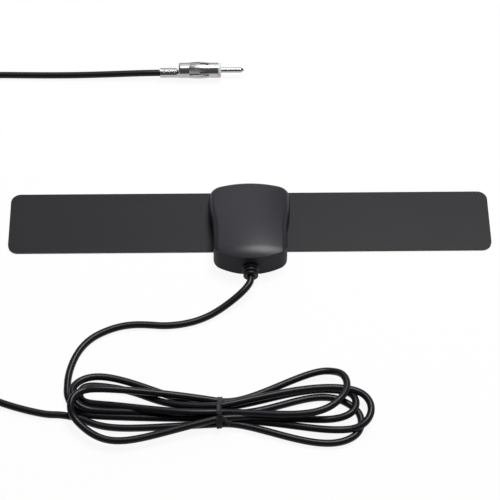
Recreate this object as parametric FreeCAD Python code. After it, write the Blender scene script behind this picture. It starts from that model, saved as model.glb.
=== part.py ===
"""Adhesive car antenna: a foil strip with an amplifier housing, a lead in a tied hank and a radio plug.

Millimetres, +Z up. The origin is the centre of the strip's underside, X runs along the strip, and the lead
leaves the housing towards -Y. The loose lead lies on the same surface as the strip.
"""
import FreeCAD
import Part
import math
import os
from FreeCAD import Vector

# Antenna strip: printed film, foil dipole, adhesive and paper liner
film_length = 270.0
film_width = 40.0
film_corner_radius = 5.5
film_thickness = 0.5
adhesive_thickness = 0.8
adhesive_inset = 0.3
liner_thickness = 0.2
foil_thickness = 0.1
foil_border = 5.0
foil_gap = 9.0
foil_corner_radius = 3.0

# Housing outline, seen from above
rear_overhang = 1.8
housing_rear_y = film_width / 2 + rear_overhang
housing_front_y = -35.0
housing_rear_width = 45.2
housing_front_width = 40.9
rear_edge_radius = 110.0
rear_corner_radius = 7.5
front_edge_radius = 36.0
front_corner_radius = 6.8
shoulder_rear_y = 6.5
shoulder_front_y = -15.0

# Housing crown, seen from the side and from the front
rear_height = 9.8
crest_height = 18.0
crest_y = -27.0
front_edge_drop = 1.7
crown_radius = 85.0
crown_sweep = 50.0
rim_radius = 4.0
wall = 1.8
roof = 1.8

# Housing fits
film_clearance = 0.3
cover_clearance = 0.1
base_clearance = 0.12
base_thickness = 1.6

# Housing screws, from below into bosses of the cover
screw_x = 13.0
screw_y = -26.5
screw_shank_diameter = 2.2
screw_head_diameter = 4.0
screw_head_height = 1.3
screw_length = 8.0
screw_recess_diameter = 1.1
screw_recess_depth = 0.65
screw_clearance = 0.1
boss_wall = 1.5

# Amplifier board, heat-staked on four posts of the base
board_length = 32.0
board_width = 31.0
board_thickness = 1.2
board_front_y = -22.0
board_corner_radius = 1.5
post_diameter = 3.6
stake_diameter = 1.8
stake_head_diameter = 2.8
stake_head_height = 0.5
stake_clearance = 0.1
stake_inset = 3.0

# Contact rivets between the foil and the board
rivet_x = 8.0
rivet_y = -6.0
rivet_diameter = 1.8
rivet_head_diameter = 4.0
rivet_head_height = 0.2
rivet_collar_diameter = 3.2
rivet_collar_height = 0.5
rivet_clearance = 0.1

# Ribbed strain relief in the front wall
relief_height = 7.2
relief_neck_diameter = 6.4
relief_flange_diameter = 7.8
relief_flange_thickness = 1.5
relief_first_diameter = 9.0
relief_last_diameter = 8.2
relief_rib_count = 3
relief_rib_width = 1.5
relief_groove_width = 0.8
relief_groove_diameter = 6.2
relief_rib_chamfer = 0.35
relief_clearance = 0.1

# Coaxial lead and its stripped end inside the housing
lead_diameter = 3.9
dielectric_diameter = 2.2
conductor_diameter = 0.8
jacket_end_y = -25.5
dielectric_end_y = -22.8
conductor_end_y = -17.0
braid_tail_diameter = 1.4
braid_tail_route = ((0.0, 0.0), (0.0, 2.2), (1.2, 4.6), (1.8, 7.0))

# Small parts on the board
transistor_size = (4.5, 2.5, 1.5)
transistor_place = (0.0, -9.0)
transistor_leg_size = (0.5, 1.2, 0.3)
transistor_leg_pitch = 1.5
capacitor_size = (2.0, 1.25, 0.9)
capacitor_places = ((-4.5, -15.0), (4.0, -4.0), (-3.0, 3.0))
resistor_size = (2.0, 1.25, 0.55)
resistor_places = ((4.5, -13.0), (-4.5, -4.0), (5.5, 4.0))
coil_diameter = 4.6
coil_waist_diameter = 3.0
coil_flange_height = 0.6
coil_height = 3.0
coil_edge_gap = 3.7
coil_y = -14.5

# Hank of the lead and its twist tie
hank_height = 8.4
hank_rim_chamfer = 2.2
tie_x = -17.5
tie_width = 3.0
tie_thickness = 0.8
tie_corner_radius = 2.4
tie_clearance = 0.05
waist_far_y = -114.8
waist_near_y = -133.4
waist_length = 7.0
tie_knot_y = -128.7
tie_knot_diameter = 2.8
tie_knot_height = 1.6
tie_knot_rounding = 0.6
tie_tail_length = 7.2
tie_tail_width = 2.2
tie_tail_angle = -28.0

# Radio plug
plug_sleeve_centre_x = -29.0
plug_axis_y = 108.3
plug_roll = -55.0
sleeve_diameter = 9.1
sleeve_wall = 0.5
sleeve_length = 23.4
sleeve_lip_radius = 0.9
sleeve_bulge = 0.4
window_rear = 6.3
window_length = 11.6
window_half_angle = 29.0
window_first_angle = 26.5
window_count = 4
tongue_width = 1.7
tongue_length = 5.3
barrel_length = 9.8
barrel_diameter = 5.8
barrel_wall = 0.45
barrel_drop = 1.4
neck_length = 1.2
neck_cut_height = -1.9
dimple_places = (2.5, 5.4, 8.4)
dimple_radius = 0.95
dimple_depth = 0.3
dimple_angle = 11.0
ring_diameter = 9.3
ring_length = 1.6
ring_chamfer = 0.5
insulator_collar_length = 4.8
insulator_rear_gap = 1.6
insulator_core_diameter = 6.4
insulator_clearance = 0.05
pin_diameter = 3.2
pin_length = 13.4
pin_tip_length = 1.5
pin_tip_diameter = 1.4
pin_rear_gap = 4.5
pin_clearance = 0.02
pin_shank_diameter = 2.8
jacket_stub = 0.8
braid_setback = 0.95

# Lead route from the strain relief to the hank, as x, y and height above the floor
lead_floor = lead_diameter / 2
lead_points = [
    (0.0, -43.8, relief_height), (-1.6, -47.0, 7.0), (-4.4, -50.3, 6.4), (-8.2, -53.6, 5.3),
    (-12.6, -56.9, 4.1), (-17.6, -60.3, 3.0), (-23.6, -63.8, 2.2), (-30.8, -66.8, lead_floor),
    (-38.8, -68.7, lead_floor), (-47.2, -69.4, lead_floor), (-55.4, -68.6, lead_floor),
    (-63.4, -68.3, lead_floor), (-71.4, -69.5, lead_floor), (-79.2, -72.5, lead_floor),
    (-86.0, -76.6, lead_floor), (-91.2, -82.2, lead_floor), (-94.8, -89.0, lead_floor),
    (-97.0, -96.0, lead_floor), (-98.0, -102.4, lead_floor), (-98.0, -106.0, lead_floor),
]

# Lead route from the hank to the plug
tail_points = [
    (-100.6, -124.0, lead_floor), (-107.5, -124.0, lead_floor), (-117.0, -121.8, lead_floor),
    (-128.5, -118.2, lead_floor), (-140.0, -113.4, lead_floor), (-151.0, -106.8, lead_floor),
    (-160.0, -98.0, lead_floor), (-166.0, -87.0, lead_floor), (-168.6, -72.0, lead_floor),
    (-168.4, -48.0, lead_floor), (-166.6, -14.0, lead_floor), (-169.4, 20.0, lead_floor),
    (-175.0, 52.0, lead_floor), (-178.2, 72.0, lead_floor), (-177.8, 86.6, lead_floor),
    (-174.4, 96.4, lead_floor), (-168.2, 103.4, lead_floor), (-159.8, 107.2, lead_floor),
    (-149.6, 108.2, lead_floor), (-136.0, 107.9, lead_floor), (-118.0, 107.6, lead_floor),
    (-101.0, 107.4, 2.2), (-85.0, 107.25, 2.9), (-71.0, 107.2, 3.6),
]
plug_lead_straight = 7.0
bend_share = 0.45

# Hank outline, from the lead's end clockwise to the waist, and on from the waist
hank_far_left = [(-96.0, -106.0), (-91.6, -101.4), (-83.0, -99.2), (-62.0, -103.2), (-38.0, -110.8)]
hank_right = [
    (10.0, -109.0), (32.0, -99.2), (43.0, -97.4), (52.0, -103.8), (61.0, -112.6), (65.0, -123.0),
    (61.4, -135.0), (48.0, -143.8), (30.0, -142.4), (8.0, -136.8),
]
hank_near_left = [(-42.0, -136.8), (-66.0, -140.8), (-84.0, -137.6), (-95.0, -131.4), (-100.6, -127.0)]
hank_corner = (-100.6, -106.0)

# Room past a face that a cut runs out of, and how nearly an edge follows an axis to count as parallel
cut_margin = 1.0
parallel_share = 0.9

# Heights that follow from the stack of the strip
liner_top = liner_thickness
adhesive_top = liner_top + adhesive_thickness
film_top = adhesive_top + film_thickness
foil_bottom = adhesive_top - foil_thickness
base_top = film_top + base_thickness
board_top = relief_height - conductor_diameter / 2
board_bottom = board_top - board_thickness
lobe_rear_y = -(film_width / 2 + film_clearance)
relief_length = relief_rib_count * relief_rib_width + (relief_rib_count - 1) * relief_groove_width
relief_start_y = housing_front_y - relief_clearance
relief_inner_y = housing_front_y + wall
relief_end_y = relief_start_y - relief_length
through_height = 2 * crest_height


def box(x0, x1, y0, y1, z0, z1):
    return Part.makeBox(x1 - x0, y1 - y0, z1 - z0, Vector(x0, y0, z0))


def rod(radius, start, end):
    """Round bar between two points."""
    axis = end - start
    return Part.makeCylinder(radius, axis.Length, start, axis)


def revolved(profile, origin, axis):
    """Solid of revolution of a closed polygon."""
    face = Part.Face(Part.makePolygon(profile + profile[:1]))
    return face.revolve(origin, axis, 360)


def arc(start, middle, end):
    return Part.Arc(start, middle, end).toShape()


def line(start, end):
    return Part.LineSegment(start, end).toShape()


def runs_along(edge, axis):
    return abs(edge.tangentAt(edge.FirstParameter).dot(axis)) > parallel_share


def edges_along(shape, axis):
    return [edge for edge in shape.Edges if runs_along(edge, axis)]


def rounded_plate(x0, x1, y0, y1, z0, z1, radius):
    """Plate with rounded corners."""
    plate = box(x0, x1, y0, y1, z0, z1)
    return plate.makeFillet(radius, edges_along(plate, Vector(0, 0, 1)))


def flat(point, height=0.0):
    return Vector(point[0], point[1], height)


# Housing forms

def mirrored(point):
    return Vector(-point.x, point.y, point.z)


def corner_arc(edge_radius, corner_radius, half_width, edge_y, side):
    """Corner between a bowed end edge and a straight side: side point, middle, end-edge point.

    side is 1 for the rear end and -1 for the front end.
    """
    end_centre = Vector(0, edge_y - side * edge_radius, 0)
    reach = edge_radius - corner_radius
    centre_x = half_width - corner_radius
    centre = end_centre + Vector(centre_x, side * math.sqrt(reach ** 2 - centre_x ** 2), 0)
    side_point = centre + Vector(corner_radius, 0, 0)
    outward = (centre - end_centre).normalize()
    end_point = centre + outward * corner_radius
    middle = centre + (outward + Vector(1, 0, 0)).normalize() * corner_radius
    return side_point, middle, end_point


def shoulder_edges(rear_half, front_half):
    """S-curve of two equal arcs that narrows the side towards the front."""
    top = Vector(rear_half, shoulder_rear_y, 0)
    bottom = Vector(front_half, shoulder_front_y, 0)
    step = rear_half - front_half
    span = shoulder_rear_y - shoulder_front_y
    radius = (span ** 2 + step ** 2) / (4 * step)
    middle = (top + bottom) * 0.5
    half_turn = math.asin(span / 2 / radius) / 2
    upper = top + Vector(radius * (math.cos(half_turn) - 1), -radius * math.sin(half_turn), 0)
    lower = bottom + Vector(radius * (1 - math.cos(half_turn)), radius * math.sin(half_turn), 0)
    return [(top, upper, middle), (middle, lower, bottom)]


def side_edges(inset):
    """One side of the housing outline, from the rear edge to the start of the front corner."""
    rear_half = housing_rear_width / 2 - inset
    front_half = housing_front_width / 2 - inset
    side, middle, end = corner_arc(rear_edge_radius - inset, rear_corner_radius - inset, rear_half,
                                   housing_rear_y - inset, 1)
    pieces = [(end, middle, side), (side, None, Vector(rear_half, shoulder_rear_y, 0))]
    return pieces + shoulder_edges(rear_half, front_half)


def outline_face(inset, squared_front):
    """Housing outline, with its bowed front or, for a long blank, with a square front."""
    pieces = side_edges(inset)
    front_half = housing_front_width / 2 - inset
    narrow = Vector(front_half, shoulder_front_y, 0)
    front_y = housing_front_y + inset
    if squared_front:
        blank_corner = Vector(front_half, front_y - 2 * front_corner_radius, 0)
        pieces.append((narrow, None, blank_corner))
        front = [line(blank_corner, mirrored(blank_corner))]
    else:
        side, middle, end = corner_arc(front_edge_radius - inset, front_corner_radius - inset, front_half,
                                       front_y, -1)
        pieces.append((narrow, None, side))
        pieces.append((side, middle, end))
        front = [arc(end, Vector(0, front_y, 0), mirrored(end))]
    edges = []
    for start, middle, end in pieces:
        edges.append(arc(start, middle, end) if middle else line(start, end))
    left = []
    for start, middle, end in reversed(pieces):
        start, end = mirrored(end), mirrored(start)
        left.append(arc(start, mirrored(middle), end) if middle else line(start, end))
    rear_end = pieces[0][0]
    rear = [arc(mirrored(rear_end), Vector(0, housing_rear_y - inset, 0), rear_end)]
    return Part.Face(Part.Wire(edges + front + left + rear))


def crown_solid(inset):
    """Space under the crowned top: two tangent arcs, seen from the side, turned about a low axis along Y."""
    axis_z = crest_height - crown_radius
    crest = Vector(0, crest_y, crest_height - inset)
    rear_radius = ((housing_rear_y - crest_y) ** 2 + (crest_height - rear_height) ** 2) \
        / (2 * (crest_height - rear_height)) - inset
    front_radius = ((crest_y - housing_front_y) ** 2 + front_edge_drop ** 2) / (2 * front_edge_drop) - inset
    margin = 2 * front_corner_radius
    foot = Vector(0, 0, -crest_height)

    def on_arc(radius, y):
        drop = radius - math.sqrt(radius ** 2 - (y - crest_y) ** 2)
        return crest + Vector(0, y - crest_y, -drop)

    rear_y = housing_rear_y + margin
    front_y = housing_front_y - front_corner_radius
    rear = on_arc(rear_radius, rear_y)
    front = on_arc(front_radius, front_y)
    corner_front = Vector(0, front_y - margin, front.z)
    foot_front = Vector(0, front_y - margin, foot.z)
    foot_rear = Vector(0, rear_y, foot.z)
    profile = Part.Wire([
        arc(rear, on_arc(rear_radius, (rear_y + crest_y) / 2), crest),
        arc(crest, on_arc(front_radius, (front_y + crest_y) / 2), front),
        line(front, corner_front), line(corner_front, foot_front), line(foot_front, foot_rear),
        line(foot_rear, rear),
    ])
    face = Part.Face(profile)
    face.rotate(Vector(0, 0, axis_z), Vector(0, 1, 0), -crown_sweep / 2)
    return face.revolve(Vector(0, 0, axis_z), Vector(0, 1, 0), crown_sweep)


def housing_form(inset, top_inset, bottom):
    """Outer form of the housing, or its hollow when inset: rounded rim, and a front wall cut crisp."""
    blank = outline_face(inset, True).extrude(Vector(0, 0, through_height))
    blank.translate(Vector(0, 0, bottom))
    blank = blank.common(crown_solid(top_inset))
    blank_front_y = housing_front_y - front_corner_radius
    rim = []
    for edge in blank.Edges:
        middle = edge.valueAt((edge.FirstParameter + edge.LastParameter) / 2)
        on_top = middle.z > bottom + cut_margin and not runs_along(edge, Vector(0, 0, 1))
        on_side = abs(middle.x) > housing_front_width / 2 - inset - cut_margin
        on_outline = on_side or middle.y > shoulder_rear_y
        if on_top and on_outline and middle.y > blank_front_y - front_corner_radius:
            rim.append(edge)
    blank = blank.makeFillet(rim_radius - inset, rim)
    trim = outline_face(inset, False).extrude(Vector(0, 0, through_height))
    trim.translate(Vector(0, 0, bottom))
    return blank.common(trim)


# Strip

def strip_layer(inset, z0, z1):
    half_length = film_length / 2 - inset
    half_width = film_width / 2 - inset
    return rounded_plate(-half_length, half_length, -half_width, half_width, z0, z1,
                         film_corner_radius - inset)


def rivet_bars(diameter, z0, z1):
    """Round bars at the two contact rivets."""
    bars = [rod(diameter / 2, Vector(side * rivet_x, rivet_y, z0), Vector(side * rivet_x, rivet_y, z1))
            for side in (-1, 1)]
    return Part.Compound(bars)


def foil_arm(side):
    start = side * foil_gap / 2
    end = side * (film_length / 2 - foil_border)
    half_width = film_width / 2 - foil_border
    arm = rounded_plate(min(start, end), max(start, end), -half_width, half_width, foil_bottom,
                        adhesive_top, foil_corner_radius)
    return arm.cut(rivet_bars(rivet_diameter + rivet_clearance, 0, through_height))


def antenna_film():
    film = strip_layer(0, adhesive_top, film_top)
    return film.cut(rivet_bars(rivet_diameter + rivet_clearance, 0, through_height))


def adhesive_sheet(foils):
    sheet = strip_layer(adhesive_inset, liner_top, adhesive_top)
    for foil in foils:
        sheet = sheet.cut(foil)
    sheet = sheet.cut(rivet_bars(rivet_diameter + rivet_clearance, foil_bottom, adhesive_top))
    return sheet.cut(rivet_bars(rivet_head_diameter, foil_bottom - rivet_head_height, foil_bottom))


def contact_rivets():
    """Tubular rivets: a flat head under the foil, a shank and a soldered collar on the board."""
    rivets = []
    for side in (-1, 1):
        head_z = foil_bottom - rivet_head_height
        foot = Vector(side * rivet_x, rivet_y, head_z)
        top = Vector(foot.x, foot.y, board_top + rivet_collar_height)
        head = rod(rivet_head_diameter / 2, foot, foot + Vector(0, 0, rivet_head_height))
        shank = rod(rivet_diameter / 2, foot, top)
        collar = rod(rivet_collar_diameter / 2, Vector(foot.x, foot.y, board_top), top)
        rivets.append(head.fuse([shank, collar]).removeSplitter())
    return Part.Compound(rivets)


# Housing pieces

def screw_points(z):
    return [Vector(side * screw_x, screw_y, z) for side in (-1, 1)]


def relief_axis(y):
    return Vector(0, y, relief_height)


def flange_room():
    """Space for the strain relief's inner flange, faced flat into the bowed front wall."""
    radius = relief_flange_diameter / 2 + relief_clearance
    depth = relief_flange_thickness + relief_clearance
    return rod(radius, relief_axis(relief_inner_y), relief_axis(relief_inner_y + depth))


def housing_cover():
    """Crowned shell with two screw bosses, a hole for the strain relief and a notch over the strip."""
    outer = housing_form(0, 0, liner_top)
    cover = outer.cut(housing_form(wall, roof, -crest_height))
    boss_radius = screw_shank_diameter / 2 + screw_clearance + boss_wall
    for point in screw_points(base_top + cover_clearance):
        boss = rod(boss_radius, point, point + Vector(0, 0, through_height)).common(outer)
        cover = cover.fuse(boss)
    pilot_radius = (screw_shank_diameter + screw_clearance) / 2
    pilot_top = screw_seat() + screw_length + screw_clearance
    for point in screw_points(liner_top):
        cover = cover.cut(rod(pilot_radius, point, Vector(point.x, point.y, pilot_top)))
    neck_radius = relief_neck_diameter / 2 + relief_clearance
    cover = cover.cut(rod(neck_radius, relief_axis(housing_front_y - wall), relief_axis(relief_inner_y)))
    cover = cover.cut(flange_room())
    half = film_length / 2
    notch = box(-half, half, lobe_rear_y, half, -cut_margin, film_top + cover_clearance)
    return cover.cut(notch).removeSplitter()


def screw_seat():
    """Height of the screw head's bearing face in the base."""
    return liner_top + screw_head_height + screw_clearance


def post_places():
    x = board_width / 2 - stake_inset
    rear_y = board_front_y + board_length - stake_inset
    front_y = board_front_y + stake_inset
    return [(side * x, y) for side in (-1, 1) for y in (front_y, rear_y)]


def housing_base():
    """Floor plate on the film, with a thicker front lobe, screw holes and heat stakes for the board."""
    inset = wall + base_clearance
    floor = outline_face(inset, False).extrude(Vector(0, 0, base_top - liner_top))
    floor.translate(Vector(0, 0, liner_top))
    half = film_length / 2
    base = floor.cut(box(-half, half, lobe_rear_y, half, -cut_margin, film_top))
    for x, y in post_places():
        stake_top = board_top + stake_head_height
        base = base.fuse(rod(post_diameter / 2, Vector(x, y, film_top), Vector(x, y, board_bottom)))
        base = base.fuse(rod(stake_diameter / 2, Vector(x, y, film_top), Vector(x, y, stake_top)))
        base = base.fuse(rod(stake_head_diameter / 2, Vector(x, y, board_top), Vector(x, y, stake_top)))
    for point in screw_points(liner_top):
        hole = rod((screw_shank_diameter + screw_clearance) / 2, point, point + Vector(0, 0, through_height))
        recess = rod(screw_head_diameter / 2 + screw_clearance, point, Vector(point.x, point.y, screw_seat()))
        base = base.cut(hole).cut(recess)
    base = base.cut(rivet_bars(rivet_diameter + rivet_clearance, 0, base_top))
    return base.cut(flange_room()).removeSplitter()


def housing_screws():
    screws = []
    for seat in screw_points(screw_seat()):
        head = rod(screw_head_diameter / 2, seat - Vector(0, 0, screw_head_height), seat)
        recess_radius = screw_recess_diameter / 2
        recess = Part.makeCone(recess_radius, recess_radius / 2, screw_recess_depth,
                               seat - Vector(0, 0, screw_head_height))
        shank = rod(screw_shank_diameter / 2, seat, seat + Vector(0, 0, screw_length))
        screws.append(head.fuse(shank).cut(recess).removeSplitter())
    return Part.Compound(screws)


def strain_relief():
    """Moulded boot: inner flange, neck in the wall, and ribs that taper outwards, bored for the lead."""
    flange_end = relief_axis(relief_inner_y + relief_flange_thickness)
    flange = rod(relief_flange_diameter / 2, relief_axis(relief_inner_y), flange_end)
    core = rod(relief_neck_diameter / 2, relief_axis(relief_start_y), relief_axis(relief_inner_y))
    stem = rod(relief_groove_diameter / 2, relief_axis(relief_end_y), relief_axis(relief_start_y))
    boot = flange.fuse([core, stem])
    pitch = relief_rib_width + relief_groove_width
    taper = (relief_first_diameter - relief_last_diameter) / (relief_rib_count - 1)
    for index in range(relief_rib_count):
        y = relief_start_y - index * pitch
        radius = (relief_first_diameter - index * taper) / 2
        rib = rod(radius, relief_axis(y), relief_axis(y - relief_rib_width))
        rims = [edge for edge in rib.Edges if edge.Closed]
        boot = boot.fuse(rib.makeChamfer(relief_rib_chamfer, rims))
    bore = rod(lead_diameter / 2, relief_axis(relief_end_y), flange_end)
    return boot.cut(bore).removeSplitter()


# Amplifier board and its parts

def circuit_board():
    half = board_width / 2
    board = rounded_plate(-half, half, board_front_y, board_front_y + board_length, board_bottom, board_top,
                          board_corner_radius)
    for x, y in post_places():
        radius = (stake_diameter + stake_clearance) / 2
        board = board.cut(rod(radius, Vector(x, y, board_bottom), Vector(x, y, board_top)))
    return board.cut(rivet_bars(rivet_diameter + rivet_clearance, board_bottom, board_top))


def chip(size, place):
    """Block that stands on the board."""
    x, y = place
    return box(x - size[0] / 2, x + size[0] / 2, y - size[1] / 2, y + size[1] / 2, board_top,
               board_top + size[2])


def amplifier_transistor():
    body = chip(transistor_size, transistor_place)
    x, y = transistor_place
    reach = (transistor_size[1] + transistor_leg_size[1]) / 2
    for step in (-1, 0, 1):
        body = body.fuse(chip(transistor_leg_size, (x + step * transistor_leg_pitch, y - reach)))
    tab_size = (transistor_size[0] / 2, transistor_leg_size[1], transistor_leg_size[2])
    return body.fuse(chip(tab_size, (x, y + reach))).removeSplitter()


def matching_coil():
    """Drum core with two flanges."""
    flange = coil_diameter / 2
    waist = coil_waist_diameter / 2
    top = coil_height
    steps = [(0, 0), (flange, 0), (flange, coil_flange_height), (waist, coil_flange_height),
             (waist, top - coil_flange_height), (flange, top - coil_flange_height), (flange, top), (0, top)]
    foot = Vector(board_width / 2 - coil_edge_gap - flange, coil_y, board_top)
    return revolved([foot + Vector(r, 0, z) for r, z in steps], foot, Vector(0, 0, 1))


def lead_entry():
    return rod(lead_diameter / 2, relief_axis(relief_end_y), relief_axis(jacket_end_y))


def lead_core():
    """Dielectric and inner conductor, which lies on the board."""
    dielectric = rod(dielectric_diameter / 2, relief_axis(jacket_end_y), relief_axis(dielectric_end_y))
    conductor = rod(conductor_diameter / 2, relief_axis(jacket_end_y), relief_axis(conductor_end_y))
    return dielectric.fuse(conductor).removeSplitter()


# Free lead, hank and tie

def tube_along(points, diameter):
    """Tube along straight runs and tangent arcs, each arc as large as its two runs allow."""
    edges = []
    radii = []
    start = points[0]
    for before, corner, after in zip(points, points[1:], points[2:]):
        into = corner - before
        out = after - corner
        reach = bend_share * min(into.Length, out.Length)
        into.normalize()
        out.normalize()
        half_turn = into.getAngle(out) / 2
        radius = reach / math.tan(half_turn)
        inward = (out - into).normalize()
        middle = corner + inward * (radius / math.cos(half_turn) - radius)
        edges.append(line(start, corner - into * reach))
        edges.append(arc(corner - into * reach, middle, corner + out * reach))
        start = corner + out * reach
        radii.append(round(radius, 1))
    edges.append(line(start, points[-1]))
    path = Part.Wire(edges)
    heading = points[1] - points[0]
    section = Part.Wire(Part.makeCircle(diameter / 2, points[0], heading))
    tube = path.makePipeShell([section], True, False)
    expected = math.pi * diameter ** 2 / 4 * path.Length
    print("radii", radii, "length", round(path.Length, 1), "volume ratio", round(tube.Volume / expected, 4))
    return tube


def lead():
    points = [relief_axis(relief_end_y)] + [Vector(*point) for point in lead_points]
    return tube_along(points, lead_diameter)


def plug_lead():
    points = [Vector(*point) for point in tail_points]
    points.append(plug_point(-plug_lead_straight, 0, -barrel_drop))
    points.append(plug_point(0, 0, -barrel_drop))
    return tube_along(points, lead_diameter)


def spline(points):
    curve = Part.BSplineCurve()
    curve.interpolate([flat(point) for point in points])
    return curve.toShape()


def tie_ring(inset, half_width):
    """Rounded block round the hank's waist, for the inside or the outside of the tie."""
    ring = box(tie_x - half_width, tie_x + half_width, waist_near_y + inset, waist_far_y - inset, inset,
               hank_height - inset)
    return ring.makeFillet(tie_corner_radius - inset, edges_along(ring, Vector(1, 0, 0)))


def lead_hank():
    """Outer form of the tied hank: two fans of loops and a straight waist, grooved for the tie."""
    west = tie_x - waist_length / 2
    east = tie_x + waist_length / 2
    far_left = hank_far_left + [(west, waist_far_y)]
    right = [(east, waist_far_y)] + hank_right + [(east, waist_near_y)]
    near_left = [(west, waist_near_y)] + hank_near_left
    outline = Part.Wire([
        spline(far_left), line(flat(far_left[-1]), flat(right[0])), spline(right),
        line(flat(right[-1]), flat(near_left[0])), spline(near_left),
        line(flat(near_left[-1]), flat(hank_corner)), line(flat(hank_corner), flat(far_left[0])),
    ])
    hank = Part.Face(outline).extrude(Vector(0, 0, hank_height))
    top_rim = [edge for edge in hank.Edges if edge.BoundBox.ZMin > hank_height / 2]
    hank = hank.makeChamfer(hank_rim_chamfer, top_rim)
    half_groove = tie_width / 2 + tie_clearance
    groove = box(tie_x - half_groove, tie_x + half_groove, waist_near_y - cut_margin,
                 waist_far_y + cut_margin, -cut_margin, hank_height + cut_margin)
    waist = tie_ring(tie_thickness + tie_clearance, half_groove)
    return hank.cut(groove.cut(waist))


def twist_tie():
    """Flat band round the waist, twisted into a knot on top, with one end laid along the hank."""
    half_width = tie_width / 2
    band = tie_ring(0, half_width).cut(tie_ring(tie_thickness, half_width + cut_margin))
    root = Vector(tie_x, tie_knot_y, hank_height - tie_thickness)
    crown = root + Vector(0, 0, tie_thickness + tie_knot_height)
    knot = rod(tie_knot_diameter / 2, root, crown)
    top_edge = [edge for edge in knot.Edges if edge.BoundBox.ZMin > hank_height]
    knot = knot.makeFillet(tie_knot_rounding, top_edge)
    tail_bottom = hank_height + tie_clearance
    tail = box(0, tie_tail_length, -tie_tail_width / 2, tie_tail_width / 2, tail_bottom,
               tail_bottom + tie_thickness)
    tail.rotate(Vector(0, 0, 0), Vector(0, 0, 1), tie_tail_angle)
    tail.translate(Vector(tie_x, tie_knot_y, 0))
    return band.fuse([knot, tail]).removeSplitter()


# Radio plug, built along X from the rear of its crimp barrel and then rolled and set down

sleeve_rear = barrel_length + neck_length
sleeve_front = sleeve_rear + sleeve_length
ring_front = sleeve_front + ring_length
plug_tip = ring_front + pin_length
plug_rear_x = plug_sleeve_centre_x - sleeve_rear - sleeve_length / 2
plug_axis_z = sleeve_diameter / 2 + sleeve_bulge
plug_placement = FreeCAD.Placement(Vector(plug_rear_x, plug_axis_y, plug_axis_z),
                                   FreeCAD.Rotation(Vector(1, 0, 0), plug_roll))
plug_origin = Vector(0, 0, 0)
plug_axis = Vector(1, 0, 0)


def plug_point(x, y, z):
    return plug_placement.multVec(Vector(x, y, z))


def set_down(shape):
    placed = shape.copy()
    placed.transformShape(plug_placement.toMatrix())
    return placed


def turned(steps):
    """Piece turned about the plug's axis, from pairs of length and radius."""
    return revolved([Vector(x, 0, r) for x, r in steps], plug_origin, plug_axis)


def sleeve_wall_profile(inset):
    """Edges of the sleeve's section, with its drawn-in rear lip and its bowed middle."""
    radius = sleeve_diameter / 2 - inset
    start = sleeve_rear + window_rear
    end = start + window_length
    lip = sleeve_lip_radius - inset
    lip_start = Vector(sleeve_rear + inset, 0, radius - lip)
    lip_end = Vector(sleeve_rear + sleeve_lip_radius, 0, radius)
    lip_rise = lip * math.sqrt(0.5)
    lip_middle = Vector(lip_end.x - lip_rise, 0, radius - lip + lip_rise)
    bow_start = Vector(start, 0, radius)
    bow_end = Vector(end, 0, radius)
    bow_top = Vector((start + end) / 2, 0, radius + sleeve_bulge)
    front = Vector(sleeve_front, 0, radius)
    return lip_start, front, [arc(lip_start, lip_middle, lip_end), line(lip_end, bow_start),
                              arc(bow_start, bow_top, bow_end), line(bow_end, front)]


def sleeve_tube():
    outer_start, outer_front, outer = sleeve_wall_profile(0)
    inner_start, inner_front, inner = sleeve_wall_profile(sleeve_wall)
    ends = [line(outer_front, inner_front), line(inner_start, outer_start)]
    section = Part.Wire(outer + ends[:1] + inner[::-1] + ends[1:])
    return Part.Face(section).revolve(plug_origin, plug_axis, 360)


def window_cutter(index):
    """Wedge that opens one window of the sleeve, less the spring tongue that stays from its front end."""
    start = sleeve_rear + window_rear
    reach = sleeve_diameter
    half = math.radians(window_half_angle)
    corners = [Vector(start, 0, 0), Vector(start, -reach * math.cos(half), -reach * math.sin(half)),
               Vector(start, -reach * math.cos(half), reach * math.sin(half))]
    wedge = Part.Face(Part.makePolygon(corners + corners[:1])).extrude(Vector(window_length, 0, 0))
    tongue = box(start + window_length - tongue_length, start + window_length, -reach, 0, -tongue_width / 2,
                 tongue_width / 2)
    wedge = wedge.cut(tongue)
    wedge.rotate(plug_origin, plug_axis, window_first_angle + index * 360 / window_count)
    return wedge


def crimp_barrel():
    """Rear barrel of the sleeve, set low, with three crimp dimples."""
    radius = barrel_diameter / 2
    rear = Vector(0, 0, -barrel_drop)
    front = Vector(barrel_length, 0, -barrel_drop)
    barrel = rod(radius, rear, front).cut(rod(radius - barrel_wall, rear, front))
    tilt = math.radians(dimple_angle)
    for x in dimple_places:
        distance = radius + dimple_radius - dimple_depth
        centre = Vector(x, -distance * math.cos(tilt), -barrel_drop + distance * math.sin(tilt))
        barrel = barrel.cut(Part.makeSphere(dimple_radius, centre))
    return barrel


def sleeve_neck():
    """Trough that joins the low barrel to the sleeve, open on top."""
    def taper(inset):
        rear = Part.Wire(Part.makeCircle(barrel_diameter / 2 - inset, Vector(barrel_length, 0, -barrel_drop),
                                         plug_axis))
        front = Part.Wire(Part.makeCircle(sleeve_diameter / 2 - inset,
                                          Vector(sleeve_rear + sleeve_lip_radius, 0, 0), plug_axis))
        return Part.makeLoft([rear, front], True, True)

    shell = taper(0).cut(taper(barrel_wall))
    reach = sleeve_diameter
    return shell.common(box(0, sleeve_front, -reach, reach, -reach, neck_cut_height))


def plug_sleeve():
    """One stamped and rolled piece: sleeve with bowed springs and windows, neck and crimp barrel."""
    sleeve = sleeve_tube()
    for index in range(window_count):
        sleeve = sleeve.cut(window_cutter(index))
    return set_down(sleeve.fuse([crimp_barrel(), sleeve_neck()]).removeSplitter())


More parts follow.
